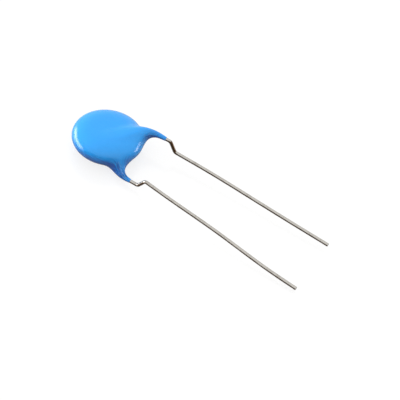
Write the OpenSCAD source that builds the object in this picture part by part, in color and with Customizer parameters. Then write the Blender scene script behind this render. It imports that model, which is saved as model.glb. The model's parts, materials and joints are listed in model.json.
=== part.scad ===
// Ceramic disc capacitor with two crimped radial leads, dipped in epoxy.
// Millimetres. The part lies as it comes to rest: Z is up, X runs along the leads towards
// their tips, Y goes across them, and the origin is below the middle of the whole part.
// Every piece is drawn in the body's own frame (disc centre at the origin, disc axis on Z)
// and then laid down by rest().

/* [Coated body] */
// Diameter of the dipped disc
coated_d = 13.38; // [13:0.02:14.6]
// Thickness of the dipped disc at its middle
coated_t = 4.8; // [4.6:0.02:5.4]
// Width of the rounded rim, measured in from the edge
rim_w = 3.1; // [2.4:0.05:3.6]
// How gradually the face rolls over into the rim
rim_soft = 2.6; // [1.4:0.05:3]

/* [Coated legs] */
// Where the upper leg's coating ends, from the disc's centre
leg_end_upper = 9.14; // [8.6:0.02:9.6]
// Where the lower leg's coating ends, from the disc's centre
leg_end_lower = 8.48; // [8.4:0.02:9.6]
// Radius of the coating where it ends on the wire
leg_tip_r = 0.39; // [0.38:0.005:0.5]
// Radius that the legs grow to
leg_full_r = 0.94; // [0.8:0.01:1.1]
// Growth of the leg's radius per mm at its tip
leg_growth = 0.098; // [0.08:0.002:0.2]
// Size of the meniscus where a leg flows into the body
leg_blend = 2.55; // [1.6:0.05:2.8]
// How far the ridge over the inner wire sinks into the face
ridge_fade = 2; // [1:0.05:2.4]
// How much broader it gets as it sinks
ridge_widen = 1; // [0:0.05:2]
// Where the ridge starts to sink, along the wire from the coating's end
ridge_fade_start = 3.3; // [2.8:0.1:4.2]
// Length of wire over which it sinks
ridge_fade_run = 8.3; // [6:0.1:10]

/* [Ceramic and electrodes] */
// Diameter of the ceramic disc
ceramic_d = 10.8; // [10.2:0.05:11]
// Thickness of the ceramic disc
ceramic_t = 2.95; // [2.8:0.01:3]
// Diameter of the silver electrodes
electrode_d = 9.8; // [9:0.05:10.1]
// Thickness of a silver electrode
electrode_t = 0.04; // [0.02:0.005:0.06]

/* [Wire] */
// Wire diameter
wire_d = 0.65; // [0.55:0.01:0.68]
// Lead spacing at the crimps
lead_pitch = 10; // [9.4:0.05:10.4]
// Where the coated wire starts to turn in, from the disc's centre
turn_x = 8.06; // [7.6:0.02:8.2]
// Bend radius of that turn
turn_r = 3.9; // [3:0.05:4.4]
// Angle of that turn
turn_deg = 53.7; // [46:0.1:58]
// Straight wire on the electrode, after the turn
inner_length = 6; // [5.4:0.1:6.6]

/* [Crimp] */
// Corner of the upper lead's first bend, from the disc's centre
crimp_x_upper = 10.28; // [10:0.01:11]
// Corner of the lower lead's first bend, from the disc's centre
crimp_x_lower = 10.3; // [10:0.01:11]
// How far the upper crimp runs along the lead
crimp_run_upper = 1.27; // [1:0.01:1.6]
// How far the lower crimp runs along the lead
crimp_run_lower = 1.33; // [1:0.01:1.6]
// Bend radius of the crimps, at the wire's middle
crimp_r = 0.7; // [0.45:0.01:0.9]

/* [Straight legs] */
// Straight wire below the upper crimp's second corner
straight_length = 33.3; // [20:0.1:40]
// How much longer the lower leg's straight wire is
straight_extra = 0.2; // [-2:0.1:2]
// How far the upper leg splays out from its row
splay_upper = -0.9; // [-3:0.1:3]
// How far the lower leg splays out from its row
splay_lower = 3.3; // [-3:0.1:5]
// How far the upper leg hangs below the disc's middle plane
droop_upper = 1.9; // [0:0.1:5]
// How far the lower leg hangs below the disc's middle plane
droop_lower = 4.5; // [0:0.1:5]

/* [Solder] */
// Solder left under the wire
solder_film = 0.03; // [0.02:0.005:0.05]
// Radius of the solder bead at its middle
solder_r = 0.75; // [0.6:0.01:0.85]
// Radius of the solder bead at its ends
solder_end_r = 0.5; // [0.45:0.01:0.58]
// Where the solder bead starts, from the end of the wire's turn
solder_start = 2.1; // [1.9:0.1:2.6]
// Length of the solder bead
solder_length = 3.4; // [2.4:0.1:3.6]
// Height of the solder over the wire's middle
solder_rise = 0.14; // [0.05:0.01:0.2]

/* [Resting pose] */
// Roll of the resting part about X: the ridge under the disc lifts one side
rest_roll = -5.01; // [-8:0.01:0]
// Pitch of the resting part about Y
rest_pitch = -0.02; // [-3:0.01:3]
// Height of the disc's centre above the floor
rest_height = 2.65; // [2:0.01:3.4]

/* [Fineness] */
// Steps from the bottom of the coating to its top
steps_up = 18; // [12:2:24]
// Steps along a leg
steps_leg = 20; // [14:1:28]
// Steps round a leg's end
steps_end = 6; // [4:1:10]
// Steps round a quarter of the disc
steps_fan = 9; // [6:1:14]

/* [Hidden] */
$fn = 48;

coat_blue = [0.2, 0.6, 0.95];
ceramic_tan = [0.72, 0.62, 0.5];
silver_grey = [0.8, 0.8, 0.78];
solder_grey = [0.62, 0.63, 0.65];
wire_grey = [0.7, 0.69, 0.66];

wire_r = wire_d / 2;
row_y = lead_pitch / 2;
electrode_z = ceramic_t / 2 + electrode_t;
wire_z = electrode_z + solder_film + wire_r;
coated_r = coated_d / 2;
flat_r = coated_r - rim_w;
// bends swell by a hair and the straights reach a hair into them, so that they join cleanly
swell = 0.003;
lap = 0.03;

// the wire's inner path in plan: straight in along X, an arc, then straight over the electrode
arc_y = row_y - turn_r;
arc_end = [turn_x - turn_r * sin(turn_deg), arc_y + turn_r * cos(turn_deg)];
inner_dir = [-cos(turn_deg), -sin(turn_deg)];
inner_end = arc_end + inner_dir * inner_length;
arc_len = turn_r * turn_deg * PI / 180;

// ---- the wire ----
function unit(v) = v / norm(v);
function corner_turn(a, b, c) = acos(unit(b - a) * unit(c - b));
function setback(a, b, c, r) = r * tan(corner_turn(a, b, c) / 2);

module along(a, b) {
  z = unit(b - a);
  x = unit(abs(z[1]) < 0.9 ? cross([0, 1, 0], z) : cross([1, 0, 0], z));
  y = cross(z, x);
  multmatrix([[x[0], y[0], z[0], a[0]], [x[1], y[1], z[1], a[1]], [x[2], y[2], z[2], a[2]]])
    children();
}

module bend(a, b, c, r) {
  u = unit(b - a);
  w = unit(c - b);
  n = unit(w - (w * u) * u);
  o = b - u * setback(a, b, c, r) + n * r;
  z = cross(u, n);
  multmatrix([[-n[0], u[0], z[0], o[0]], [-n[1], u[1], z[1], o[1]], [-n[2], u[2], z[2], o[2]]])
    rotate_extrude(angle = corner_turn(a, b, c)) translate([r, 0]) circle(r = wire_r + swell);
}

// straight runs between the corners p, each corner rounded at its radius r
module wire(p, r) {
  last = len(p) - 1;
  for (i = [0 : last - 1]) {
    u = unit(p[i + 1] - p[i]);
    from = i == 0 ? p[0] : p[i] + u * (setback(p[i - 1], p[i], p[i + 1], r[i]) - lap);
    to = i == last - 1 ? p[last] : p[i + 1] - u * (setback(p[i], p[i + 1], p[i + 2], r[i + 1]) - lap);
    along(from, to) cylinder(r = wire_r, h = norm(to - from));
  }
  for (i = [1 : last - 1]) bend(p[i - 1], p[i], p[i + 1], r[i]);
}

// the corners of a lead: side is 1 above the disc and -1 below it
function leg_dir(side, splay, droop) =
  [cos(splay) * cos(droop), side * sin(splay) * cos(droop), -sin(droop)];
function turn_corner_x() = turn_x - turn_r * tan(turn_deg / 2);
function lead_points(side, crimp_x, crimp_run, straight, splay, droop) =
  let(bottom = [crimp_x + crimp_run, side * row_y, 0])
  [[inner_end[0], side * inner_end[1], side * wire_z],
   [turn_corner_x(), side * row_y, side * wire_z],
   [crimp_x, side * row_y, side * wire_z],
   bottom,
   bottom + leg_dir(side, splay, droop) * straight];
upper_points = lead_points(1, crimp_x_upper, crimp_run_upper, straight_length, splay_upper, droop_upper);
lower_points =
  lead_points(-1, crimp_x_lower, crimp_run_lower, straight_length + straight_extra, splay_lower, droop_lower);
lead_radii = [0, turn_r, crimp_r, crimp_r, 0];

// ---- the coating's surface ----
// A point is inside where dip() is negative: the disc and both legs, flowing into each other.
function ease(t) = let(u = min(max(t, 0), 1)) u * u * (3 - 2 * u);
function flow(a, b) = let(h = max(leg_blend - abs(a - b), 0) / leg_blend) min(a, b) - h * h * leg_blend / 4;
function sunk(s) = ease((s - ridge_fade_start) / ridge_fade_run);
function leg_r(s) =
  let(m = leg_full_r - leg_tip_r) leg_tip_r + m * (1 - exp(-s * leg_growth / m)) - ridge_fade * sunk(s);

// the disc's section is an ellipse in z and in rolled(r), which stays near 0 over the face
// and then climbs with r
function rolled(r) = (norm([r - flat_r, rim_soft]) + r - flat_r) / 2;
rolled_middle = rolled(0);
rolled_scale = coated_t / 2 / (rolled(coated_r) - rolled_middle);
function disc_part(x, y, z) = norm([(rolled(norm([x, y])) - rolled_middle) * rolled_scale, z]) - coated_t / 2;
// the leg that leaves the upper face: s is measured along the wire from the coating's end
function leg_part(x, y, z, leg_end) =
  let(
    run_a = leg_end - turn_x,
    s_a = min(max(leg_end - x, 0), run_a),
    d_a = norm([x - leg_end + s_a, y - row_y]),
    bearing = atan2(y - arc_y, x - turn_x),
    t_b = min(max(bearing < -90 ? bearing + 360 : bearing, 90), 90 + turn_deg),
    d_b = norm([x - turn_x - turn_r * cos(t_b), y - arc_y - turn_r * sin(t_b)]),
    s_c = min(max([x - arc_end[0], y - arc_end[1]] * inner_dir, 0), inner_length),
    d_c = norm([x - arc_end[0], y - arc_end[1]] - inner_dir * s_c),
    d = min(d_a, d_b, d_c),
    s = d_a <= d ? s_a
      : d_b <= d ? run_a + turn_r * (t_b - 90) * PI / 180
      : run_a + arc_len + s_c,
    w = ridge_widen * sunk(s)
  )
  norm([norm([d, w]) - w, z - wire_z]) - leg_r(s);
function dip(p) =
  flow(flow(disc_part(p[0], p[1], p[2]), leg_part(p[0], p[1], p[2], leg_end_upper)),
       leg_part(p[0], -p[1], -p[2], leg_end_lower));

// Rays start at feet on a spine inside the coating and stop at its surface. The spine runs
// from the disc's centre (k = 0) to the end of a leg (k = steps_leg).
inner_len_to_centre = norm(arc_end);
function spine_len(leg_end) = leg_end - turn_x + arc_len + inner_len_to_centre;
function spine_plan(s, leg_end) =
  let(run_a = leg_end - turn_x)
  s <= run_a ? [leg_end - s, row_y]
  : s <= run_a + arc_len ? let(t = 90 + (s - run_a) / turn_r * 180 / PI) [turn_x + turn_r * cos(t), arc_y + turn_r * sin(t)]
  : arc_end * (1 - min((s - run_a - arc_len) / inner_len_to_centre, 1));
function foot_s(k, leg_end) = spine_len(leg_end) * (1 - k / steps_leg);
function foot(k, side) =
  let(
    leg_end = side > 0 ? leg_end_upper : leg_end_lower,
    s = foot_s(k, leg_end),
    p = spine_plan(s, leg_end),
    rise = ease((spine_len(leg_end) - s) / (spine_len(leg_end) - leg_end + turn_x))
  )
  [p[0], side * p[1], side * wire_z * rise];

fan_open = 100;
// every ray on the inner side aims at one point in the gap between the legs, so none cross
gap_x = 9.5;
function inward(k, leg_end) =
  let(p = spine_plan(foot_s(k, leg_end), leg_end)) atan2(p[1], gap_x - p[0]);
// one half's rays, as [k, side, bearing], from behind the disc round the leg to the front
function half_rays(side) =
  let(
    leg_end = side > 0 ? leg_end_upper : leg_end_lower,
    len = spine_len(leg_end),
    turn_in = 90 + inward(steps_leg, leg_end)
  )
  concat(
    [for (i = [0 : steps_fan - 1]) [0, side, side * (180 - (180 - fan_open) * i / steps_fan)]],
    [for (k = [0 : steps_leg - 1])
      [k, side, side * (fan_open + (90 - fan_open) * ease((len - foot_s(k, leg_end)) / (len - leg_end + turn_x)))]],
    [for (i = [0 : steps_end]) [steps_leg, side, side * (90 - turn_in * i / steps_end)]],
    [for (k = [steps_leg - 1 : -1 : 1]) [k, side, -side * inward(k, leg_end)]]
  );
function all_rays() =
  let(up = half_rays(1), low = half_rays(-1))
  concat(up, [[0, 1, 0]], [for (i = [len(low) - 1 : -1 : 1]) low[i]]);

// distance to the surface from inside, first by safe steps and then by halving
function walk(o, d, t, n) = n == 0 ? t : walk(o, d, t + max(-dip(o + d * t), 0) * 0.96, n - 1);
function halve(o, d, lo, hi, n) =
  n == 0 ? (lo + hi) / 2
  : let(m = (lo + hi) / 2) dip(o + d * m) < 0 ? halve(o, d, m, hi, n - 1) : halve(o, d, lo, m, n - 1);
function hit(o, d, guess) = o + d * halve(o, d, guess * 0.55, guess * 1.5, 13);

function ray_points(ray) =
  let(
    o = foot(ray[0], ray[1]),
    c = cos(ray[2]),
    s = sin(ray[2]),
    w = walk(o, [c, s, 0], 0, 26),
    h_up = walk(o, [0, 0, 1], 0, 20),
    h_down = walk(o, [0, 0, -1], 0, 20)
  )
  [for (j = [1 : steps_up - 1])
    let(
      a = -90 + 180 * j / steps_up,
      v = [w * cos(a), (a > 0 ? h_up : h_down) * sin(a)],
      g = norm(v)
    )
    hit(o, [v[0] * c, v[0] * s, v[1]] / g, g)];
function pole(k, side, z) =
  let(o = foot(k, side), g = walk(o, [0, 0, z], 0, 20)) hit(o, [0, 0, z], g);

module dipped_form() {
  rays = all_rays();
  n = len(rays);
  m = steps_up - 1;
  rings = [for (r = rays) each ray_points(r)];
  poles = [for (z = [-1, 1]) each concat(
    [pole(0, 1, z)],
    [for (k = [1 : steps_leg]) pole(k, 1, z)],
    [for (k = [1 : steps_leg]) pole(k, -1, z)])];
  per = 2 * steps_leg + 1;
  base = n * m;
  pole_at = function(ray, top)
    base + (top ? per : 0) + (ray[0] == 0 ? 0 : ray[1] > 0 ? ray[0] : steps_leg + ray[0]);
  faces = [for (i = [0 : n - 1])
    let(
      k = (i + 1) % n,
      p0 = pole_at(rays[i], false), p1 = pole_at(rays[k], false),
      q0 = pole_at(rays[i], true), q1 = pole_at(rays[k], true)
    )
    each concat(
      [for (j = [0 : m - 2]) each [[i * m + j, k * m + j + 1, i * m + j + 1], [i * m + j, k * m + j, k * m + j + 1]]],
      [[p0, k * m, i * m]],
      p0 == p1 ? [] : [[p0, p1, k * m]],
      [[q0, i * m + m - 1, k * m + m - 1]],
      q0 == q1 ? [] : [[q0, k * m + m - 1, q1]])];
  polyhedron(points = concat(rings, poles), faces = faces, convexity = 4);
}

// ---- the pieces, in the body's own frame ----
module ceramic_body() {
  cylinder_about_z(ceramic_d, ceramic_t);
}

module electrode_body(side) {
  translate([0, 0, side > 0 ? ceramic_t / 2 : -electrode_z]) cylinder(d = electrode_d, h = electrode_t);
}

module lead_body(side) {
  wire(side > 0 ? upper_points : lower_points, lead_radii);
}

// a spindle of solder round the wire, wiped flat below the wire's top
module solder_bead(side, floor_z) {
  intersection() {
    translate([arc_end[0], side * arc_end[1], side * wire_z])
      rotate([0, 0, side * (180 + turn_deg)]) rotate([0, 90, 0]) translate([0, 0, solder_start])
        rotate_extrude()
          polygon([[0, 0], [solder_end_r, 0], [solder_r, solder_length * 0.3],
                   [solder_r, solder_length * 0.7], [solder_end_r, solder_length], [0, solder_length]]);
    translate([-coated_r, -coated_r, side > 0 ? floor_z : -wire_z - solder_rise])
      cube([coated_d, coated_d, wire_z + solder_rise - floor_z]);
  }
}

module solder_body(side) {
  difference() {
    solder_bead(side, electrode_z);
    lead_body(side);
  }
}

// everything that the coating wraps, as plain overlapping solids
module core() {
  cylinder_about_z(ceramic_d, ceramic_t);
  cylinder_about_z(electrode_d, 2 * electrode_z);
  for (side = [1, -1]) {
    solder_bead(side, ceramic_t / 4);
    lead_body(side);
  }
}

module cylinder_about_z(d, h) {
  translate([0, 0, -h / 2]) cylinder(d = d, h = h);
}

// where a point of the body's frame comes to when the part is laid down, before it's centred
function laid(p) =
  let(y = p[1] * cos(rest_roll) - p[2] * sin(rest_roll), z = p[1] * sin(rest_roll) + p[2] * cos(rest_roll))
  [p[0] * cos(rest_pitch) + z * sin(rest_pitch), y, -p[0] * sin(rest_pitch) + z * cos(rest_pitch)];
upper_tip = laid(upper_points[4]);
lower_tip = laid(lower_points[4]);
mid_x = (max(upper_tip[0], lower_tip[0]) - coated_r) / 2;
mid_y = (max(upper_tip[1] + wire_r, coated_r) + min(lower_tip[1] - wire_r, -coated_r)) / 2;

// lays the part down and puts the middle of its outline over the origin
module rest() {
  translate([-mid_x, -mid_y, rest_height]) rotate([rest_roll, rest_pitch, 0]) children();
}

// ---- nodes ----
module coating() {
  color(coat_blue) rest() difference() {
    dipped_form();
    core();
  }
}

module ceramic_disc() {
  color(ceramic_tan) rest() ceramic_body();
}

module electrode_upper() {
  color(silver_grey) rest() electrode_body(1);
}

module electrode_lower() {
  color(silver_grey) rest() electrode_body(-1);
}

module solder_upper() {
  color(solder_grey) rest() solder_body(1);
}

module solder_lower() {
  color(solder_grey) rest() solder_body(-1);
}

module lead_upper() {
  color(wire_grey) rest() lead_body(1);
}

module lead_lower() {
  color(wire_grey) rest() lead_body(-1);
}

coating();
ceramic_disc();
electrode_upper();
electrode_lower();
solder_upper();
solder_lower();
lead_upper();
lead_lower();
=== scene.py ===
import json
import math
import bpy
import numpy as np
from mathutils import Matrix

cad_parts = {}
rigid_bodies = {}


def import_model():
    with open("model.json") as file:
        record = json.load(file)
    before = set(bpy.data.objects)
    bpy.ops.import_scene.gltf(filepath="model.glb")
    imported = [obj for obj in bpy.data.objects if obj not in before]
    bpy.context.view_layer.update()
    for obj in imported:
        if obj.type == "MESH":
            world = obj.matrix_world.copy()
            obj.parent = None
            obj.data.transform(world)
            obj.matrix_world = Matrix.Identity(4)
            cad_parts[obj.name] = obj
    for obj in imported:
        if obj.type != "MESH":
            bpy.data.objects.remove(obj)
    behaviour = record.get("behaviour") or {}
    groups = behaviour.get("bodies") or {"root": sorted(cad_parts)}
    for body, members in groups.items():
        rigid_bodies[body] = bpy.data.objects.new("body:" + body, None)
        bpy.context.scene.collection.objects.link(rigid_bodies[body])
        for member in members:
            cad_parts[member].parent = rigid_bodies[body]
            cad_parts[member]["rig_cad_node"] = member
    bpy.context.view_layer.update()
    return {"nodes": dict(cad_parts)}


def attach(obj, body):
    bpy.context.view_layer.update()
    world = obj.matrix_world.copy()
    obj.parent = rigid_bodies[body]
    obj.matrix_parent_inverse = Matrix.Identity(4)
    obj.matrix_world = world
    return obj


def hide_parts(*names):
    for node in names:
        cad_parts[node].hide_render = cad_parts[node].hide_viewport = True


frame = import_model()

print("frame loaded:", len(frame["nodes"]), "nodes")

for spare in [o for o in bpy.data.objects
              if o.type in {"MESH", "LIGHT", "CAMERA"} and "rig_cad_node" not in o]:
    bpy.data.objects.remove(spare)

# All shapes are worked out in the body's own frame, in millimetres: the disc's centre is the
# origin, its axis is Z and the leads run along X. layDown then puts them where the part rests.
restPose = {
    "roll": -5.01,               # degrees about X
    "pitch": -0.02,              # degrees about Y
    "shift": (-19.1410, 0.3803, 2.65),
    "metre": 0.001,              # metres in a millimetre
    "floorGap": 0.000001,        # metres that any wave in a skin stays above the floor
}


def layDown(points):
    # turned about X by the roll, then about Y by the pitch, then shifted, and made metres
    roll, pitch = math.radians(restPose["roll"]), math.radians(restPose["pitch"])
    aboutX = np.array([[1, 0, 0],
                       [0, math.cos(roll), -math.sin(roll)],
                       [0, math.sin(roll), math.cos(roll)]])
    aboutY = np.array([[math.cos(pitch), 0, math.sin(pitch)],
                       [0, 1, 0],
                       [-math.sin(pitch), 0, math.cos(pitch)]])
    return (points @ (aboutY @ aboutX).T + np.array(restPose["shift"])) * restPose["metre"]


def upwardness(points, outward):
    # height of the outward direction once the part is laid down, from -1 to 1
    return (layDown(points + outward) - layDown(points))[:, 2] / restPose["metre"]


def unit(vectors):
    # each vector divided by its own length
    return vectors / np.linalg.norm(vectors, axis=-1, keepdims=True)


def ease(t):
    # 3 t squared minus 2 t cubed, with t held between 0 and 1
    t = np.clip(t, 0.0, 1.0)
    return t * t * (3.0 - 2.0 * t)


def bell(t):
    # e to the power of minus t squared
    return np.exp(-t * t)


def nearness(points, centre, spread):
    # 1 at the centre, falling off like a bell over the spread along each axis
    return bell(np.sqrt((((points - centre) / spread) ** 2).sum(axis=-1)))


def newPiece(name, points, quads, triangles, replacedNode):
    # a mesh from whole arrays of corners, smooth all over, riding on the root body
    mesh = bpy.data.meshes.new(name)
    laid = layDown(points)
    laid[:, 2] = np.maximum(laid[:, 2], restPose["floorGap"])
    mesh.from_pydata(laid.tolist(), [], quads.tolist() + triangles.tolist())
    mesh.polygons.foreach_set("use_smooth", np.ones(len(mesh.polygons), dtype=bool))
    mesh.validate()
    piece = bpy.data.objects.new(name, mesh)
    bpy.context.scene.collection.objects.link(piece)
    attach(piece, "root")
    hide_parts(replacedNode)
    print(name, "has", len(mesh.vertices), "points and", len(mesh.polygons), "faces")
    return piece


def giveValues(piece, name, values):
    # one number, or one triple, for each of the piece's points
    kind, field = ("FLOAT", "value") if values.ndim == 1 else ("FLOAT_VECTOR", "vector")
    layer = piece.data.attributes.new(name, kind, "POINT")
    layer.data.foreach_set(field, np.ascontiguousarray(values, dtype=np.float32).ravel())


# The dipped coating: a disc and two legs, each a distance to a simple form, flowing together.
coating = {
    "discRadius": 6.69,
    "discThickness": 4.8,
    "rimWidth": 3.1,                   # from the rim inwards to where the face starts to fall
    "rimSoftness": 2.6,                # how gradually the face rolls over into the rim
    "legEnd": {1: 9.14, -1: 8.48},     # where the coating stops on the upper and lower wire
    "legTipRadius": 0.39,
    "legFullRadius": 0.94,
    "legGrowth": 0.098,                # mm of radius gained on the first mm from the tip
    "meniscus": 2.55,                  # how far from each other two forms start to flow together
    "ridgeFade": 2.0,                  # how far the ridge over the wire sinks into the face
    "ridgeWiden": 1.0,                 # how much broader it gets as it sinks
    "fadeStart": 3.3,
    "fadeRun": 8.3,
    "turnX": 8.06,                     # where the wire's turn over the disc begins
    "turnRadius": 3.9,
    "turnAngle": 53.7,
    "innerLength": 6.0,
    "rowY": 5.0,
    "wireHeight": 1.87,
    "feeler": 0.002,                   # the small step that finds the way out of the skin
    "stepsUp": 92,                     # from straight down to straight up
    "stepsLeg": 110,
    "stepsEnd": 40,
    "stepsFan": 100,
    "fanOpen": 100.0,                  # bearing at which the fan behind the disc meets the leg
    "gapX": 9.5,                       # the rays of both legs' inner sides point at this place
    "widest": 14.0,                    # no ray goes further than this
    "tallest": 6.0,                    # nor further than this, straight up or down
}


def innerPath():
    # the wire in the coating: a straight at rowY, an arc round (turnX, centreY), a straight inwards
    turn = math.radians(coating["turnAngle"])
    centreY = coating["rowY"] - coating["turnRadius"]
    return {
        "centreY": centreY,
        "arcEnd": np.array([coating["turnX"] - coating["turnRadius"] * math.sin(turn),
                            centreY + coating["turnRadius"] * math.cos(turn)]),
        "arcLength": coating["turnRadius"] * turn,
        "inward": np.array([-math.cos(turn), -math.sin(turn)]),
    }


def flow(a, b):
    # the lesser of two distances, less a quarter of the meniscus times the square of their closeness
    near = coating["meniscus"]
    close = np.maximum(near - np.abs(a - b), 0.0) / near
    return np.minimum(a, b) - close * close * near / 4


def sunk(s):
    # how far the ridge has sunk into the face, from 0 to 1 along the wire
    return ease((s - coating["fadeStart"]) / coating["fadeRun"])


def legRadius(s):
    # starts at the tip radius, grows ever slower to the full radius, and sinks away over the disc
    more = coating["legFullRadius"] - coating["legTipRadius"]
    grown = coating["legTipRadius"] + more * (1 - np.exp(-s * coating["legGrowth"] / more))
    return grown - coating["ridgeFade"] * sunk(s)


def rolled(r):
    # stays near 0 over the face and then climbs with r: half of the way past the face's edge plus its
    # own length, which the softness rounds off
    past = r - coating["discRadius"] + coating["rimWidth"]
    return (np.hypot(past, coating["rimSoftness"]) + past) / 2


def discPart(x, y, z):
    # an ellipse in z and rolled(r), half as thick as the disc both ways
    half = coating["discThickness"] / 2
    outward = (rolled(np.hypot(x, y)) - rolled(0.0)) / (rolled(coating["discRadius"]) - rolled(0.0))
    return np.hypot(outward * half, z) - half


def legPart(x, y, z, legEnd):
    # distance to the wire's inner path, less the leg's radius there; where the ridge sinks, the
    # distance in plan is rounded off near 0, so that the crest broadens
    path, turnX, turnRadius = innerPath(), coating["turnX"], coating["turnRadius"]
    arcEnd, inward, centreY = path["arcEnd"], path["inward"], path["centreY"]
    outerRun = legEnd - turnX
    onOuter = np.clip(legEnd - x, 0.0, outerRun)
    toOuter = np.hypot(x - legEnd + onOuter, y - coating["rowY"])
    bearing = np.arctan2(y - centreY, x - turnX)
    bearing = np.where(bearing < -math.pi / 2, bearing + 2 * math.pi, bearing)
    onArc = np.clip(bearing, math.pi / 2, math.pi / 2 + math.radians(coating["turnAngle"]))
    toArc = np.hypot(x - turnX - turnRadius * np.cos(onArc), y - centreY - turnRadius * np.sin(onArc))
    onInner = np.clip((x - arcEnd[0]) * inward[0] + (y - arcEnd[1]) * inward[1],
                      0.0, coating["innerLength"])
    toInner = np.hypot(x - arcEnd[0] - onInner * inward[0], y - arcEnd[1] - onInner * inward[1])
    inPlan = np.minimum(np.minimum(toOuter, toArc), toInner)
    s = np.where(toOuter <= inPlan, onOuter,
                 np.where(toArc <= inPlan, outerRun + turnRadius * (onArc - math.pi / 2),
                          outerRun + path["arcLength"] + onInner))
    broad = coating["ridgeWiden"] * sunk(s)
    inPlan = np.hypot(inPlan, broad) - broad
    return np.hypot(inPlan, z - coating["wireHeight"]) - legRadius(s)


def dip(points):
    # below zero inside the coating; the lower leg is the upper one turned over about X
    x, y, z = points[..., 0], points[..., 1], points[..., 2]
    upper = legPart(x, y, z, coating["legEnd"][1])
    lower = legPart(x, -y, -z, coating["legEnd"][-1])
    return flow(flow(discPart(x, y, z), upper), lower)


def steepest(points):
    # the direction in which dip grows fastest, from small steps to both sides along each axis
    grown = [dip(points + step) - dip(points - step) for step in np.eye(3) * coating["feeler"]]
    return unit(np.stack(grown, axis=-1))


# How a ray finds the skin.
search = {
    "steps": 40,
    "stride": 0.97,              # share of the free distance that a step takes
    "bracket": (0.8, 1.1),       # from less than the way found to more
    "margin": 0.05,
    "halvings": 22,
}


def reach(feet, directions, furthest):
    # steps out from each foot by nearly all of the distance that is still free, then brackets the skin
    # and halves the bracket again and again
    t = np.zeros(directions.shape[:-1])
    for step in range(search["steps"]):
        free = np.maximum(-dip(feet + directions * t[..., None]), 0.0)
        t = np.minimum(t + free * search["stride"], furthest)
    low, high = t * search["bracket"][0], t * search["bracket"][1] + search["margin"]
    for step in range(search["halvings"]):
        middle = (low + high) / 2
        inside = dip(feet + directions * middle[..., None]) < 0
        low, high = np.where(inside, middle, low), np.where(inside, high, middle)
    return (low + high) / 2


def spineLengths(side):
    # the runs of the spine's outer straight, of its arc and of the straight from there to the centre
    path = innerPath()
    return coating["legEnd"][side] - coating["turnX"], path["arcLength"], np.hypot(*path["arcEnd"])


def spinePlace(s, side):
    # where a ray's foot is, s along the wire from the coating's end and then on to the disc's centre
    path, legEnd = innerPath(), coating["legEnd"][side]
    outerRun, arcLength, toCentre = spineLengths(side)
    whole = outerRun + arcLength + toCentre
    turned = math.pi / 2 + np.clip(s - outerRun, 0, arcLength) / coating["turnRadius"]
    left = 1 - np.clip((s - outerRun - arcLength) / toCentre, 0, 1)
    onOuter, onArc = s <= outerRun, s <= outerRun + arcLength
    arcX = coating["turnX"] + coating["turnRadius"] * np.cos(turned)
    arcY = path["centreY"] + coating["turnRadius"] * np.sin(turned)
    x = np.where(onOuter, legEnd - s, np.where(onArc, arcX, path["arcEnd"][0] * left))
    y = np.where(onOuter, coating["rowY"], np.where(onArc, arcY, path["arcEnd"][1] * left))
    rise = ease((whole - s) / (whole - outerRun))
    return np.stack([x, side * y, side * coating["wireHeight"] * rise], axis=-1)


def halfRays(side):
    # one half's rays, each a foot and a bearing: a fan behind the disc, then the leg's outer side, its
    # end and its inner side
    legSteps, endSteps, fanSteps = coating["stepsLeg"], coating["stepsEnd"], coating["stepsFan"]
    whole, fanOpen = sum(spineLengths(side)), coating["fanOpen"]
    footS = whole * (1 - np.arange(legSteps + 1) / legSteps)
    feet = spinePlace(footS, side)
    towardsGap = np.degrees(np.arctan2(np.abs(feet[:, 1]), coating["gapX"] - feet[:, 0]))
    fan = 180 - (180 - fanOpen) * np.arange(fanSteps) / fanSteps
    turning = ease((whole - footS[:-1]) / (whole - spineLengths(side)[0]))
    outer = fanOpen + (90 - fanOpen) * turning
    end = 90 - (90 + towardsGap[-1]) * np.arange(endSteps + 1) / endSteps
    inner = -towardsGap[legSteps - 1:0:-1]
    which = np.concatenate([np.zeros(fanSteps, int), np.arange(legSteps),
                            np.full(endSteps + 1, legSteps), np.arange(legSteps - 1, 0, -1)])
    return which, feet[which], side * np.concatenate([fan, outer, end, inner]), feet


def ringRays():
    # both halves' rays in one ring round the body, and the feet of both spines
    whichUp, feetUp, bearingUp, spineUp = halfRays(1)
    whichLow, feetLow, bearingLow, spineLow = halfRays(-1)
    return {
        "which": np.concatenate([whichUp, [0], whichLow[:0:-1]]),
        "sides": np.concatenate([np.ones(len(whichUp) + 1, int), -np.ones(len(whichLow) - 1, int)]),
        "feet": np.concatenate([feetUp, spineUp[:1], feetLow[:0:-1]]),
        "bearings": np.radians(np.concatenate([bearingUp, [0.0], bearingLow[:0:-1]])),
        "spines": np.concatenate([spineUp, spineLow[1:]]),
    }


def alongZ(feet, way):
    # the places straight below (way -1) or above (way 1) the feet on the skin
    up = np.zeros_like(feet) + np.array([0.0, 0.0, 1.0]) * way
    return feet + up * reach(feet, up, coating["tallest"])[:, None]


def skinGrid(ring):
    # over each ray of the ring a column of rays from low to high, spaced like the quarters of ellipses
    # that are as wide and as tall as the body is there
    feet, stepsUp = ring["feet"], coating["stepsUp"]
    flat = np.stack([np.cos(ring["bearings"]), np.sin(ring["bearings"]), 0 * ring["bearings"]], axis=-1)
    up = np.zeros_like(flat) + np.array([0.0, 0.0, 1.0])
    wide = reach(feet, flat, coating["widest"])
    high, low = reach(feet, up, coating["tallest"]), reach(feet, -up, coating["tallest"])
    lift = np.pi * (np.arange(1, stepsUp) / stepsUp - 0.5)
    tall = np.where(lift[None, :] > 0, high[:, None], low[:, None])
    slant = unit(np.stack([wide[:, None] * np.cos(lift), tall * np.sin(lift)], axis=-1))
    directions = flat[:, None, :] * slant[..., :1] + up[:, None, :] * slant[..., 1:]
    origins = np.repeat(feet[:, None, :], stepsUp - 1, axis=1)
    return origins + directions * reach(origins, directions, coating["widest"])[..., None], lift


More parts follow.
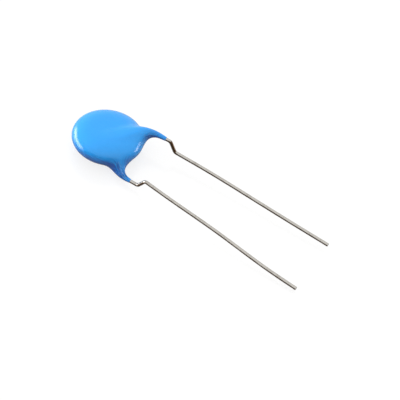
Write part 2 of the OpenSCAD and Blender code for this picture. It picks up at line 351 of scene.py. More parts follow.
def skinFaces(ring):
    # quads between neighbouring columns, and triangles from their ends to the places below and above
    # the spines' feet
    count, rows, legSteps = len(ring["feet"]), coating["stepsUp"] - 1, coating["stepsLeg"]
    a, b = np.arange(count), np.roll(np.arange(count), -1)
    j = np.arange(rows - 1)
    quads = np.stack([a[:, None] * rows + j, b[:, None] * rows + j,
                      b[:, None] * rows + j + 1, a[:, None] * rows + j + 1], axis=-1).reshape(-1, 4)
    footOf = np.where(ring["which"] == 0, 0,
                      np.where(ring["sides"] > 0, ring["which"], legSteps + ring["which"]))
    below = count * rows + footOf
    above = below + 2 * legSteps + 1
    apart = below[a] != below[b]
    lowCaps = np.stack([below[a], b * rows, a * rows], axis=-1)
    highCaps = np.stack([above[a], a * rows + rows - 1, b * rows + rows - 1], axis=-1)
    lowGaps = np.stack([below[a], below[b], b * rows], axis=-1)[apart]
    highGaps = np.stack([above[a], b * rows + rows - 1, above[b]], axis=-1)[apart]
    return quads, np.concatenate([lowCaps, highCaps, lowGaps, highGaps])


# Slow waves in the set resin: radians a mm along X, Y and Z, and where the sine starts.
resinWaves = {
    "height": 0.0025,
    "broad": ((1.1, 0.7, 0.0), 0.4),
    "crossing": ((-0.5, 0.9, 0.0), 1.3),
    "slanting": ((1.9, -1.3, 2.1), 0.0),
    "slantingShare": 0.6,
    "short": ((0.0, 2.6, 1.7), 0.8),
    "shortShare": 0.4,
    "most": 2.0,                 # what the sum of them never passes
}


def sineOf(points, wave):
    # the sine of the place times the radians a mm along each axis, plus the start
    (alongX, alongY, alongZ), start = wave
    x, y, z = points[..., 0], points[..., 1], points[..., 2]
    return np.sin(alongX * x + alongY * y + alongZ * z + start)


def waveHeights(points):
    # the broad wave times the crossing one, plus the shares of the other two, less the most that this
    # can be, so that the waves only go inwards
    waves = (sineOf(points, resinWaves["broad"]) * sineOf(points, resinWaves["crossing"])
             + resinWaves["slantingShare"] * sineOf(points, resinWaves["slanting"])
             + resinWaves["shortShare"] * sineOf(points, resinWaves["short"]))
    return resinWaves["height"] * (waves - resinWaves["most"])


# Where the setting resin was pulled into creases: how strongly, round which place, spread how far.
creasePulls = {
    "underLowerLeg": (0.7, (7.0, -5.3, -1.4), (1.3, 0.8, 0.8)),
    "lowerWeb": (1.0, (5.6, -5.0, -0.6), (1.9, 0.9, 1.1)),
    "upperHollow": (0.8, (6.8, 3.6, 1.8), (1.8, 1.2, 0.9)),
    "gapRim": (0.4, (6.1, -2.9, 0.2), (0.8, 1.0, 0.9)),
    "lowerRim": (0.5, (1.9, -6.4, 0.1), (2.2, 0.8, 0.8)),
}
creaseSides = {
    "pull": 0.03,
    "fromX": 1.0,
    "runX": 3.0,
    "steep": 0.35,               # full pull where the outward direction climbs less than this
    "flat": 0.75,                # and none where it climbs more than this
}


def pulledSkin(points, outward):
    # the sum of the pulls, 1 at the most, and hardly any on the other steep sides towards the legs
    sides = creaseSides
    steepness = 1 - ease((np.abs(outward[:, 2]) - sides["steep"]) / (sides["flat"] - sides["steep"]))
    pulled = sides["pull"] * steepness * ease((points[:, 0] - sides["fromX"]) / sides["runX"])
    for strength, place, spread in creasePulls.values():
        pulled = pulled + strength * nearness(points, place, spread)
    return np.minimum(pulled, 1.0)


# Painted shade: the coating's colour is darker on all that doesn't face up, and on the legs.
paintedShadeAreas = {
    "everywhere": 0.25,
    "lowerSide": {"share": 0.75, "fromY": 1.5, "runY": 6.0, "fromX": -6.0, "runX": 5.0},
    "hollow": {"share": 1.1, "place": (7.9, 4.4, 1.5), "spread": (2.7, 1.7, 1.3), "higher": 0.25},
    "web": {"place": (6.4, -5.3, -1.0), "spread": (2.2, 0.8, 1.0), "higher": 0.35},
    "shadeFullUpTo": -0.15,           # upwardness below which the painted shade is full
    "fadeOver": 0.85,            # and over how much more of it the painted shade fades out
    "legs": {"share": 0.24, "upperMore": 0.08, "fromX": 5.4, "runX": 2.0},
}


def paintedShade(points, outward):
    # painted shade: the area's share times how little the skin faces up, or the legs' own share where
    # that is more; in the hollow and in the web the shade reaches higher
    areas, x, y = paintedShadeAreas, points[:, 0], points[:, 1]
    lowerSide, hollow, web, legs = (areas[key] for key in ("lowerSide", "hollow", "web", "legs"))
    side = (ease((lowerSide["fromY"] - y) / lowerSide["runY"])
            * ease((x - lowerSide["fromX"]) / lowerSide["runX"]))
    inHollow = nearness(points, hollow["place"], hollow["spread"])
    inWeb = nearness(points, web["place"], web["spread"])
    shadeAmount = areas["everywhere"] + lowerSide["share"] * side + hollow["share"] * inHollow
    fadeOver = areas["fadeOver"] + hollow["higher"] * inHollow + web["higher"] * inWeb
    low = 1 - ease((upwardness(points, outward) - areas["shadeFullUpTo"]) / fadeOver)
    onLegs = (legs["share"] + legs["upperMore"] * (y > 0)) * ease((x - legs["fromX"]) / legs["runX"])
    return np.maximum(np.minimum(shadeAmount, 1.0) * low, onLegs)


def flowPlaces(grid, lift):
    # creases run round the body, so their pattern's place is a point on a circle as long as the outline
    # and the angle up from the rim
    waist = grid[:, len(lift) // 2]
    outline = np.linalg.norm(np.diff(waist, axis=0, append=waist[:1]), axis=1)
    turned = np.cumsum(outline) / outline.sum() * 2 * np.pi
    radius = outline.sum() / (2 * np.pi)
    places = np.broadcast_arrays(radius * np.cos(turned)[:, None], radius * np.sin(turned)[:, None],
                                 lift[None, :])
    return np.stack(places, axis=-1).reshape(-1, 3)


def buildCoating():
    # the skin of the dip, with its waves, and what its material reads at each point
    ring = ringRays()
    grid, lift = skinGrid(ring)
    below, above = alongZ(ring["spines"], -1), alongZ(ring["spines"], 1)
    points = np.concatenate([grid.reshape(-1, 3), below, above])
    outward = steepest(points)
    points = points + outward * waveHeights(points)[:, None]
    quads, triangles = skinFaces(ring)
    piece = newPiece("coatingSkin", points, quads, triangles, "coating")
    places = flowPlaces(grid, lift)
    giveValues(piece, "flowPlace", np.concatenate([places, np.zeros((len(points) - len(places), 3))]))
    giveValues(piece, "pulled", pulledSkin(points, outward))
    # painted shade for the material, darkest where the skin faces down
    giveValues(piece, "paintedShade", paintedShade(points, outward))
    return piece


coatingSkin = buildCoating()

# The leads: straight runs between corners, each corner a round bend, carried out as a drawn wire.
leads = {
    "wireRadius": 0.325,
    "crimpX": {1: 10.28, -1: 10.30},
    "crimpRun": {1: 1.27, -1: 1.33},
    "crimpRadius": 0.7,
    "straight": {1: 33.3, -1: 33.5},
    "splay": {1: -0.9, -1: 3.3},
    "droop": {1: 1.9, -1: 4.5},
    "bow": {1: (0.161, 0.094, 0.017), -1: (-0.041, 0.084, -0.096)},   # mm, of 1, 2 and 3 half waves
    "around": 40,
    "spacing": 0.16,             # mm between rings on the straights
    "bendSpacing": 0.05,
    "tightBend": 1.0,            # only a bend of a smaller radius was pressed with the tool
    "squash": 0.035,             # flattening where the tool pressed the bends
    "drawnTo": 0.995,            # share of the radius that is left under the ripples
    "ripples": ((0.006, 1.7, 2, 1), (0.004, 5.3, -3, 0)),   # share, radians a mm, lobes, side's shift
    "cutEdge": 0.03,             # the cut end's worn corner
    "cutBack": 1.15,             # how many of it the ends are drawn back, to keep to the length
    "cornerRings": ((0.3, 0.6), (1.0, 0.9)),   # how many of it each ring shrinks by, and goes out by
    "faceRing": (0.5, 1.1),      # share of the radius on the cut's face, and how far out it goes
    "fewestRings": (2, 6),       # on a straight and on a bend
}


def leadCorners(side):
    # inner end, the turn over the disc, the crimp's two corners and the cut end
    path = innerPath()
    innerEnd = path["arcEnd"] + path["inward"] * coating["innerLength"]
    halfTurn = math.radians(coating["turnAngle"]) / 2
    turnCorner = coating["turnX"] - coating["turnRadius"] * math.tan(halfTurn)
    splay, droop = math.radians(leads["splay"][side]), math.radians(leads["droop"][side])
    row, height = side * coating["rowY"], side * coating["wireHeight"]
    foot = np.array([leads["crimpX"][side] + leads["crimpRun"][side], row, 0.0])
    along = np.array([math.cos(splay) * math.cos(droop), side * math.sin(splay) * math.cos(droop),
                      -math.sin(droop)])
    return np.array([[innerEnd[0], side * innerEnd[1], height], [turnCorner, row, height],
                     [leads["crimpX"][side], row, height], foot,
                     foot + along * leads["straight"][side]])


def roundedPath(corners, radii):
    # places, headings and pressed amounts along straights and arcs, each arc touching both its
    # straights; a pressed amount is the sine of pi times the share of the turn
    places, headings, pressed = [], [], []
    begin = corners[0]
    for i in range(1, len(corners)):
        heading, turn, back = unit(corners[i] - corners[i - 1]), 0.0, 0.0
        if i < len(corners) - 1:
            nextHeading = unit(corners[i + 1] - corners[i])
            turn = math.acos(float(heading @ nextHeading))
            back = radii[i] * math.tan(turn / 2)
        stop = corners[i] - heading * back
        rings = max(int(np.linalg.norm(stop - begin) / leads["spacing"]), leads["fewestRings"][0])
        t = np.linspace(0, 1, rings, endpoint=turn == 0.0)
        places.append(begin + (stop - begin) * t[:, None])
        headings.append(np.repeat(heading[None], len(t), axis=0))
        pressed.append(np.zeros(len(t)))
        if turn:
            inwards = unit(nextHeading - heading * (nextHeading @ heading))
            centre = stop + inwards * radii[i]
            rings = max(int(turn * radii[i] / leads["bendSpacing"]), leads["fewestRings"][1])
            angle = np.linspace(0, turn, rings, endpoint=False)[:, None]
            places.append(centre + radii[i] * (heading * np.sin(angle) - inwards * np.cos(angle)))
            headings.append(heading * np.cos(angle) + inwards * np.sin(angle))
            pressed.append(np.sin(np.pi * angle[:, 0] / turn) * (radii[i] < leads["tightBend"]))
            begin = stop + radii[i] * (heading * math.sin(turn) + inwards * (1 - math.cos(turn)))
    return np.concatenate(places), np.concatenate(headings), np.concatenate(pressed)


def wirePath(side):
    # the rounded corners, and beyond the crimp not quite straight: moved sideways by the sum of
    # b sin(k pi t) over k, with t from 0 at the crimp to 1 at the cut
    corners, crimpRadius = leadCorners(side), leads["crimpRadius"]
    radii = [0, coating["turnRadius"], crimpRadius, crimpRadius, 0]
    places, headings, pressed = roundedPath(corners, radii)
    foot, tip = corners[3:, 0]
    t = np.clip((places[:, 0] - foot) / (tip - foot), 0, 1)
    for k, bow in enumerate(leads["bow"][side], start=1):
        places[:, 1] += bow * np.sin(k * np.pi * t)
        headings[:, 1] += bow * k * np.pi * np.cos(k * np.pi * t) * (t > 0) / (tip - foot)
    run = np.concatenate([[0], np.cumsum(np.linalg.norm(np.diff(places, axis=0), axis=1))])
    return places, unit(headings), pressed, run


def wireRings(side, places, headings, pressed, run):
    # circles across the path: the radius times 1 plus the ripples' sines, less the squash times the
    # cosine of twice the angle; each ring's outward directions come with it
    sideways = unit(np.cross(headings, np.array([0.0, 1.0, 0.0])))
    upright = np.cross(sideways, headings)
    angle = 2 * np.pi * np.arange(leads["around"]) / leads["around"]
    size = leads["drawnTo"]
    for share, along, times, shift in leads["ripples"]:
        size = size + share * np.sin(along * run[:, None] + times * angle + shift * side)
    size = leads["wireRadius"] * size * (1 - leads["squash"] * pressed[:, None] * np.cos(2 * angle))
    outward = (np.cos(angle)[None, :, None] * sideways[:, None, :]
               + np.sin(angle)[None, :, None] * upright[:, None, :])
    return places[:, None, :] + size[..., None] * outward, outward


# Painted shade and dark reflection on the wire: dark brown where it faces low, less right below.
paintedWireShade = {
    "belowFrom": 0.36,           # painted dark below this upwardness
    "belowTo": 0.62,             # and bright above this one
    "kink": {1: 0.60, -1: 0.0},  # how much further up the painted dark reaches at the crimps
    "kinkWidth": 0.75,           # in lengths of the crimp
    "drifts": ((0.05, 0.9, 1), (0.04, 2.3, 0)),   # how far up, radians a mm, side's shift
    "underside": 0.35,           # share of the painted dark that is left right below
    "undersideFrom": -0.8,
    "undersideRun": 0.5,
    # painted shade on the middles of the cut ends
    "cutFace": 0.3,
}


def wireShadeBand(side, rings, outward, places, run):
    # painted shade: 1 where the outward direction points low, less right below, and 0 where it points
    # high, with a border that drifts along the wire and climbs at the crimp
    middle = leads["crimpX"][side] + leads["crimpRun"][side] / 2
    kink = bell((places[:, 0] - middle) / (paintedWireShade["kinkWidth"] * leads["crimpRun"][side]))
    border = paintedWireShade["kink"][side] * kink
    for high, along, shift in paintedWireShade["drifts"]:
        border = border + high * np.sin(along * run + shift * side)
    height = upwardness(rings.reshape(-1, 3), outward.reshape(-1, 3)).reshape(len(rings), -1)
    height = height - border[:, None]
    under = 1 - ease((height - paintedWireShade["belowFrom"]) / (paintedWireShade["belowTo"] - paintedWireShade["belowFrom"]))
    onSides = ease((height - paintedWireShade["undersideFrom"]) / paintedWireShade["undersideRun"])
    return under * (paintedWireShade["underside"] + (1 - paintedWireShade["underside"]) * onSides)


def wornEnd(ring, place, out):
    # a cut end: the ring drawn back, three ever smaller rings pushed out over the worn corner, and the
    # middle of the cut
    edge, radius = leads["cutEdge"], leads["wireRadius"]
    base = place - out * edge * leads["cutBack"]
    drawn = ring - out * edge * leads["cutBack"]
    steps = [(1 - share * edge / radius, push) for share, push in leads["cornerRings"]]
    steps.append(leads["faceRing"])
    smaller = [base + (drawn - base) * shrink + out * edge * push for shrink, push in steps]
    return drawn, smaller, base + out * edge * leads["cutBack"]


def tubeFaces(ringCount, around):
    # quads between neighbouring rings, and a fan of triangles over each end
    i, k = np.arange(ringCount - 1)[:, None] * around, np.arange(around)
    nextK = np.roll(k, -1)
    quads = np.stack([i + around + k, i + around + nextK, i + nextK, i + k], axis=-1).reshape(-1, 4)
    startPole, endPole = np.full(around, ringCount * around), np.full(around, ringCount * around + 1)
    lastRing = (ringCount - 1) * around
    startFan = np.stack([k, nextK, startPole], axis=-1)
    endFan = np.stack([lastRing + nextK, lastRing + k, endPole], axis=-1)
    return quads, np.concatenate([startFan, endFan])


def buildLead(side, word):
    # the rings of the wire with both worn ends, and how much painted shade each point has
    places, headings, pressed, run = wirePath(side)
    rings, outward = wireRings(side, places, headings, pressed, run)
    wireShade = wireShadeBand(side, rings, outward, places, run)
    rings[0], startRings, startPole = wornEnd(rings[0], places[0], -headings[0])
    rings[-1], endRings, endPole = wornEnd(rings[-1], places[-1], headings[-1])
    everyRing = np.concatenate([np.stack(startRings[::-1]), rings, np.stack(endRings)])
    points = np.concatenate([everyRing.reshape(-1, 3), startPole[None], endPole[None]])
    quads, triangles = tubeFaces(len(everyRing), leads["around"])
    piece = newPiece("leadWire." + word, points, quads, triangles, "lead_" + word)
    onRings = np.concatenate([np.repeat(wireShade[:1], len(startRings), axis=0), wireShade,
                              np.repeat(wireShade[-1:], len(endRings), axis=0)])
    giveValues(piece, "wireShade", np.concatenate([onRings.ravel(), [paintedWireShade["cutFace"]] * 2]))
    return piece


leadWires = [buildLead(1, "upper"), buildLead(-1, "lower")]


# Materials. Patterns read Object coordinates in metres, so a scale of 1000 is one cell a millimetre.
maskLow, maskHigh = 0.3, 0.7     # nearly all of a noise mask lies between these


def addNode(tree, kind, **values):
    # each value goes to the node's setting of that name or else to its input
    node = tree.nodes.new(kind)
    for key, value in values.items():
        if hasattr(node, key) and key not in node.inputs:
            setattr(node, key, value)
        else:
            node.inputs[key].default_value = value
    return node


def feed(tree, socket, given):
    # an output is linked to the socket, three numbers are a colour, and one number is set as it is
    if isinstance(given, bpy.types.NodeSocket):
        tree.links.new(given, socket)
    else:
        socket.default_value = (*given, 1) if isinstance(given, tuple) else given


def combine(tree, operation, a, b):
    # one step of arithmetic between two outputs, or an output and a number
    node = addNode(tree, "ShaderNodeMath", operation=operation)
    feed(tree, node.inputs[0], a)
    feed(tree, node.inputs[1], b)
    return node.outputs[0]


def spreadValue(tree, mask, fromLow, fromHigh, toLow=0.0, toHigh=1.0, shape="LINEAR"):
    # the mask carried from one range of values to another
    spread = addNode(tree, "ShaderNodeMapRange", interpolation_type=shape)
    for key, value in (("Value", mask), ("From Min", fromLow), ("From Max", fromHigh),
                       ("To Min", toLow), ("To Max", toHigh)):
        feed(tree, spread.inputs[key], value)
    return spread.outputs["Result"]


def blendColours(tree, mask, colourA, colourB):
    # from the first colour to the second as the mask grows from 0 to 1
    mix = addNode(tree, "ShaderNodeMix", data_type="RGBA")
    for number, given in ((0, mask), (6, colourA), (7, colourB)):   # the mix node's colour sockets
        feed(tree, mix.inputs[number], given)
    return mix.outputs[2]


def mottledColour(tree, mask, colourA, colourB, low=maskLow, high=maskHigh):
    # colourA where the mask is at low, colourB where it is at high, eased in between
    return blendColours(tree, spreadValue(tree, mask, low, high, shape="SMOOTHSTEP"), colourA, colourB)


def bumpFrom(tree, heights, distance, strength, shader):
    # the heights are of a mask from 0 to 1, as deep as the distance in metres
    bump = addNode(tree, "ShaderNodeBump", Strength=strength, Distance=distance)
    tree.links.new(heights, bump.inputs["Height"])
    tree.links.new(bump.outputs["Normal"], shader.inputs["Normal"])


def readValue(tree, name):
    # a number stored on the piece's points
    return addNode(tree, "ShaderNodeAttribute", attribute_name=name).outputs["Fac"]


def newMaterial(name):
    material = bpy.data.materials.new(name)
    material.use_nodes = True
    return material, material.node_tree, material.node_tree.nodes["Principled BSDF"]


def newGroup(name, inputs):
    # a node group that takes the named inputs and puts out one mask
    tree = bpy.data.node_groups.new(name, "ShaderNodeTree")
    for socketName, socketType in inputs.items():
        tree.interface.new_socket(socketName, in_out="INPUT", socket_type=socketType)
    tree.interface.new_socket("Mask", in_out="OUTPUT", socket_type="NodeSocketFloat")
    return tree, addNode(tree, "NodeGroupInput").outputs, addNode(tree, "NodeGroupOutput").inputs


def mottleGroup():
    # soft patches: the mean of two noises, the second one's scale being Fine times the first one's
    tree, given, out = newGroup("softMottle", {"Coordinates": "NodeSocketVector",
                                               "Scale": "NodeSocketFloat", "Fine": "NodeSocketFloat"})
    fineScale = combine(tree, "MULTIPLY", given["Scale"], given["Fine"])
    coarse = addNode(tree, "ShaderNodeTexNoise", Detail=3.0, Roughness=0.55)
    fine = addNode(tree, "ShaderNodeTexNoise", Detail=2.0, Roughness=0.5)
    for noise, scale in ((coarse, given["Scale"]), (fine, fineScale)):
        tree.links.new(given["Coordinates"], noise.inputs["Vector"])
        tree.links.new(scale, noise.inputs["Scale"])
    both = combine(tree, "ADD", coarse.outputs["Fac"], fine.outputs["Fac"])
    tree.links.new(combine(tree, "MULTIPLY", both, 0.5), out["Mask"])
    return tree


def linesGroup():
    # drawn lines: noise stretched by its own factor along each axis
    tree, given, out = newGroup("drawnLines", {"Coordinates": "NodeSocketVector",
                                               "Stretch": "NodeSocketVector"})
    stretched = addNode(tree, "ShaderNodeVectorMath", operation="MULTIPLY")
    noise = addNode(tree, "ShaderNodeTexNoise", Scale=1.0, Detail=3.0, Roughness=0.6)
    tree.links.new(given["Coordinates"], stretched.inputs[0])
    tree.links.new(given["Stretch"], stretched.inputs[1])
    tree.links.new(stretched.outputs[0], noise.inputs["Vector"])
    tree.links.new(noise.outputs["Fac"], out["Mask"])
    return tree


softMottle, drawnLines = mottleGroup(), linesGroup()


def placeMask(tree, group, coordinates, **values):
    # one of the groups in a material, with the material's own values
    node = tree.nodes.new("ShaderNodeGroup")
    node.node_tree = group
    tree.links.new(coordinates, node.inputs["Coordinates"])
    for key, value in values.items():
        node.inputs[key].default_value = value
    return node.outputs["Mask"]


def dress(piece, material):
    piece.data.materials.clear()
    piece.data.materials.append(material)


coatingLooks = {
    "blue": (0.021, 0.368, 0.940),
    "blueDeep": (0.018, 0.352, 0.915),
    "shadeNavy": (0.004, 0.105, 0.480),      # painted shade: low on the rim, under the upper leg, on the legs and in the creases
    "shadeNavyShare": 0.80,
    # share of navy painted as shade in the creases' grooves
    "creaseShadeShare": 0.95,
    "roughness": (0.13, 0.18),
    "ior": 1.5,
    "patches": {"Scale": 300.0, "Fine": 6.0},
    "skin": {"Scale": 900.0, "Detail": 2.0, "Roughness": 0.45},
    "skinDepth": 0.000004,              # metres
    "creaseStretch": (0.28, 0.28, 8.0),
    "creaseEdges": (0.42, 0.58),        # mask between which a crease turns into a ridge
    "creaseDepth": 0.00012,             # metres
    "bump": 0.8,
}


def coatingMaterial():
    looks = coatingLooks
    material, tree, shader = newMaterial("dippedEpoxyBlue")
    place = addNode(tree, "ShaderNodeTexCoord").outputs["Object"]
    flowPlace = addNode(tree, "ShaderNodeAttribute", attribute_name="flowPlace").outputs["Vector"]
    patches = placeMask(tree, softMottle, place, **looks["patches"])
    creases = placeMask(tree, drawnLines, flowPlace, Stretch=looks["creaseStretch"])
    skin = addNode(tree, "ShaderNodeTexNoise", **looks["skin"])
    tree.links.new(place, skin.inputs["Vector"])
    pulled, ridges = readValue(tree, "pulled"), spreadValue(tree, creases, *looks["creaseEdges"])
    # painted shade: the grooves between the crease ridges turn navy
    grooves = combine(tree, "MULTIPLY", combine(tree, "SUBTRACT", 1.0, ridges), pulled)
    # painted shade: navy where the skin faces down, on the legs and under the upper leg
    low = combine(tree, "MULTIPLY", readValue(tree, "paintedShade"), looks["shadeNavyShare"])
    paintedDark = combine(tree, "ADD", low, combine(tree, "MULTIPLY", grooves, looks["creaseShadeShare"]))
    paintedDark.node.use_clamp = True
    plain = mottledColour(tree, patches, looks["blueDeep"], looks["blue"])
    feed(tree, shader.inputs["Base Color"], blendColours(tree, paintedDark, plain, looks["shadeNavy"]))
    roughness = spreadValue(tree, patches, maskLow, maskHigh, *looks["roughness"])
    feed(tree, shader.inputs["Roughness"], roughness)
    shader.inputs["IOR"].default_value = looks["ior"]
    fine = combine(tree, "MULTIPLY", skin.outputs["Fac"], looks["skinDepth"] / looks["creaseDepth"])
    relief = combine(tree, "ADD", fine, combine(tree, "MULTIPLY", ridges, pulled))
    bumpFrom(tree, relief, looks["creaseDepth"], looks["bump"], shader)
    return material


wireLooks = {
    "tin": (0.54, 0.515, 0.475),
    "tinDull": (0.38, 0.355, 0.315),
    "tinEdges": (0.25, 0.55),           # mask between which dull tin turns into bright tin
    "shadeBrown": (0.085, 0.050, 0.026),     # painted shade and dark reflection, low on the wire and at the crimps
    "roughness": (0.22, 0.38),
    "patches": {"Scale": 700.0, "Fine": 5.0},
    "lineStretch": (160.0, 9000.0, 9000.0),
    "lineDepth": 0.000004,              # metres
    "bump": 0.5,
}


def wireMaterial():
    looks = wireLooks
    material, tree, shader = newMaterial("tinnedWire")
    place = addNode(tree, "ShaderNodeTexCoord").outputs["Object"]
    patches = placeMask(tree, softMottle, place, **looks["patches"])
    lines = placeMask(tree, drawnLines, place, Stretch=looks["lineStretch"])
    tin = mottledColour(tree, patches, looks["tinDull"], looks["tin"], *looks["tinEdges"])
    # painted shade: the tin turns dark brown where the wire faces low and at the crimps
    shadedTin = blendColours(tree, readValue(tree, "wireShade"), tin, looks["shadeBrown"])
    feed(tree, shader.inputs["Base Color"], shadedTin)
    roughness = spreadValue(tree, lines, maskLow, maskHigh, *looks["roughness"])
    feed(tree, shader.inputs["Roughness"], roughness)
    shader.inputs["Metallic"].default_value = 1.0
    bumpFrom(tree, lines, looks["lineDepth"], looks["bump"], shader)
    return material


# The finishes inside the coating: a pattern, two colours and two roughnesses that it goes between.
innerLooks = {
    "firedTitanateCeramic": {
        "nodes": ("ceramic_disc",),
        "pattern": (softMottle, {"Scale": 2600.0, "Fine": 5.0}),
        "colours": ((0.40, 0.29, 0.19), (0.52, 0.40, 0.28)),
        "roughness": (0.55, 0.75),
        "metallic": 0.0,
        "depth": 0.00001,               # metres
        "bump": 0.5,
    },
    "printedSilver": {
        "nodes": ("electrode_upper", "electrode_lower"),
        "pattern": (drawnLines, {"Stretch": (900.0, 7000.0, 3000.0)}),
        "colours": ((0.70, 0.69, 0.66), (0.82, 0.81, 0.78)),
        "roughness": (0.38, 0.55),
        "metallic": 1.0,
        "depth": 0.000006,              # metres
        "bump": 0.5,
    },
    "frostedSolder": {
        "nodes": ("solder_upper", "solder_lower"),
        "pattern": (softMottle, {"Scale": 3500.0, "Fine": 4.0}),
        "colours": ((0.50, 0.50, 0.51), (0.64, 0.64, 0.65)),
        "roughness": (0.22, 0.42),
        "metallic": 1.0,
        "depth": 0.000008,              # metres
        "bump": 0.5,
    },
}


def innerMaterial(name, looks):
    material, tree, shader = newMaterial(name)
    group, values = looks["pattern"]
    mask = placeMask(tree, group, addNode(tree, "ShaderNodeTexCoord").outputs["Object"], **values)
    feed(tree, shader.inputs["Base Color"], mottledColour(tree, mask, *looks["colours"]))
    roughness = spreadValue(tree, mask, maskLow, maskHigh, *looks["roughness"])
    feed(tree, shader.inputs["Roughness"], roughness)
    shader.inputs["Metallic"].default_value = looks["metallic"]
    bumpFrom(tree, mask, looks["depth"], looks["bump"], shader)
    return material


dress(coatingSkin, coatingMaterial())
tinnedWire = wireMaterial()
for leadWire in leadWires:
    dress(leadWire, tinnedWire)
for finish, looks in innerLooks.items():
    innerFinish = innerMaterial(finish, looks)
    for nodeName in looks["nodes"]:
        for slot in frame["nodes"][nodeName].material_slots:
            slot.material = innerFinish
print("materials placed")


# The stage: a pale, faintly glossy card, and a tent of soft light with two brighter windows.
stage = {
    "floorSize": 3.0,
    "floorSquares": 8,
    "floorColour": (0.70, 0.70, 0.70),    # as seen in reflections
    "fibreShade": 0.995,
    "fibres": {"Scale": 900.0, "Fine": 3.0},
    "cameraColour": (0.20, 0.20, 0.20),   # as seen directly, on top of the lift
    "bounceColour": (0.03, 0.03, 0.03),   # what the card throws back on the part
    "cameraLift": 0.79,                   # how much of its white the camera sees without the tent
    "floorRoughness": 0.20,
    "away": (-0.2264, 0.9740, 0.0),       # level direction of the bright back
    "frontRise": (0.18, 0.64),            # heights between which the front grows from dim to full
    "frontGlow": (0.08, 1.20),
    "backFall": (0.28, 0.66),             # heights between which the back falls from bright to plain
    "backGlow": (1.08, 0.93),
    "backSpread": 1.12,
}


def buildFloor():
    # a level square card on a grid of squares
    squares = stage["floorSquares"]
    across = np.linspace(-0.5, 0.5, squares + 1) * stage["floorSize"]
    x, y = np.meshgrid(across, across, indexing="ij")
    points = np.stack([x, y, 0 * x], axis=-1).reshape(-1, 3)
    i = (np.arange(squares)[:, None] * (squares + 1) + np.arange(squares)).reshape(-1)
    quads = np.stack([i, i + squares + 1, i + squares + 2, i + 1], axis=-1)
    mesh = bpy.data.meshes.new("paleCard")
    mesh.from_pydata(points.tolist(), [], quads.tolist())
    card = bpy.data.objects.new("paleCard", mesh)
    bpy.context.scene.collection.objects.link(card)
    dress(card, cardMaterial())


def cardMaterial():
    # the camera, a reflection and the part's lighting each see the card in a colour of its own
    material, tree, shader = newMaterial("paleCardboard")
    place = addNode(tree, "ShaderNodeTexCoord").outputs["Object"]
    fibres = placeMask(tree, softMottle, place, **stage["fibres"])
    shaded = tuple(channel * stage["fibreShade"] for channel in stage["floorColour"])
    pale = mottledColour(tree, fibres, shaded, stage["floorColour"])
    rays = addNode(tree, "ShaderNodeLightPath").outputs
    mirrored = combine(tree, "MAXIMUM", rays["Is Glossy Ray"], rays["Is Transmission Ray"])
    indirect = blendColours(tree, mirrored, stage["bounceColour"], pale)
    seen = blendColours(tree, rays["Is Camera Ray"], indirect, stage["cameraColour"])
    lift = spreadValue(tree, rays["Is Camera Ray"], 0.0, 1.0, 0.0, stage["cameraLift"])
    feed(tree, shader.inputs["Base Color"], seen)
    feed(tree, shader.inputs["Emission Strength"], lift)
    feed(tree, shader.inputs["Emission Color"], (1, 1, 1))
    feed(tree, shader.inputs["Roughness"], stage["floorRoughness"])
    return material


softWindows = {
    # azimuth: where it stands, in degrees, as for a camera; height: of its middle; tall: how far up and
    # down from there it is full, and where it has faded out; wide: the same sideways, in degrees
    "left": {"azimuth": 287.0, "height": 0.11, "tall": (0.10, 0.27), "wide": (24.0, 38.0), "glow": 8.6},
    "right": {"azimuth": 133.0, "height": 0.03, "tall": (0.07, 0.18), "wide": (7.0, 15.0), "glow": 9.8},
}


def facing(tree, direction, towards):
    # the dot product of the direction looked in and a fixed one
    dot = addNode(tree, "ShaderNodeVectorMath", operation="DOT_PRODUCT")
    dot.inputs[1].default_value = towards
    tree.links.new(direction, dot.inputs[0])
    return dot.outputs["Value"]


def addWindow(tree, direction, height, window, brightness):
    # brightness plus glow times how far the direction lies inside the window, both ways
    azimuth = math.radians(window["azimuth"])
    middle = facing(tree, direction, (math.sin(azimuth), -math.cos(azimuth), 0.0))
    full, faded = (math.cos(math.radians(angle)) for angle in window["wide"])
    across = spreadValue(tree, middle, faded, full)
    off = combine(tree, "ABSOLUTE", combine(tree, "SUBTRACT", height, window["height"]), 0.0)
    upright = spreadValue(tree, off, *window["tall"], 1.0, 0.0)
    inside = combine(tree, "MULTIPLY", combine(tree, "MULTIPLY", across, upright), window["glow"])
    return combine(tree, "ADD", brightness, inside)


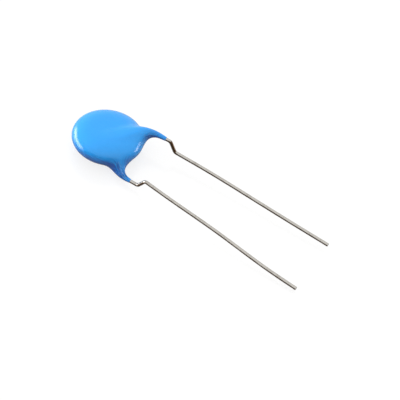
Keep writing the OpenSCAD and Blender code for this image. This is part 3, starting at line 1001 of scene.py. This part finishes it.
def buildTent():
    # brightness by direction: in front it grows with height, behind it is bright all the way down, and
    # between them it goes by a power of how far the direction points to the back
    world = bpy.data.worlds.new("lightTent")
    bpy.context.scene.world = world
    world.use_nodes = True
    tree = world.node_tree
    tree.nodes.clear()
    out = addNode(tree, "ShaderNodeOutputWorld")
    background = addNode(tree, "ShaderNodeBackground")
    direction = addNode(tree, "ShaderNodeTexCoord").outputs["Generated"]
    parts = addNode(tree, "ShaderNodeSeparateXYZ")
    tree.links.new(direction, parts.inputs[0])
    height = parts.outputs["Z"]
    front = spreadValue(tree, height, *stage["frontRise"], *stage["frontGlow"])
    back = spreadValue(tree, height, *stage["backFall"], *stage["backGlow"])
    awayness = spreadValue(tree, facing(tree, direction, stage["away"]), -1.0, 1.0)
    mix = addNode(tree, "ShaderNodeMix", data_type="FLOAT")
    behind = combine(tree, "POWER", awayness, stage["backSpread"])
    for number, given in ((0, behind), (2, front), (3, back)):      # the mix node's number sockets
        feed(tree, mix.inputs[number], given)
    brightness = mix.outputs[0]
    for window in softWindows.values():
        brightness = addWindow(tree, direction, height, window, brightness)
    colour = addNode(tree, "ShaderNodeCombineColor")
    for channel in colour.inputs:
        feed(tree, channel, brightness)
    feed(tree, background.inputs["Color"], colour.outputs[0])
    feed(tree, out.inputs["Surface"], background.outputs[0])


buildFloor()
buildTent()
print("stage lit by a tent with", len(softWindows), "windows")

camera = {
    "place": (0.072300, -0.150938, 0.194380),
    "azimuth": 25.0878,
    "elevation": 49.3362,
    "roll": -9.9747,
    "lens": 127.343,
    "sensor": 36.0,
    "clip": (0.01, 20.0),
}


def buildCamera():
    # looks back along its azimuth and elevation, then rolls about its own axis
    data = bpy.data.cameras.new("mainCamera")
    data.sensor_width, data.lens = camera["sensor"], camera["lens"]
    data.clip_start, data.clip_end = camera["clip"]
    eye = bpy.data.objects.new("mainCamera", data)
    bpy.context.scene.collection.objects.link(eye)
    azimuth, elevation, roll = (math.radians(camera[key]) for key in ("azimuth", "elevation", "roll"))
    back = np.array([math.sin(azimuth) * math.cos(elevation), -math.cos(azimuth) * math.cos(elevation),
                     math.sin(elevation)])
    level = np.array([math.cos(azimuth), math.sin(azimuth), 0.0])
    rise = np.cross(back, level)
    right = level * math.cos(roll) - rise * math.sin(roll)
    up = level * math.sin(roll) + rise * math.cos(roll)
    rows = [[right[i], up[i], back[i], camera["place"][i]] for i in range(3)]
    eye.matrix_world = Matrix(rows + [[0, 0, 0, 1]])
    bpy.context.scene.camera = eye


buildCamera()
bpy.context.scene.view_settings.view_transform = "Standard"
print("camera placed")
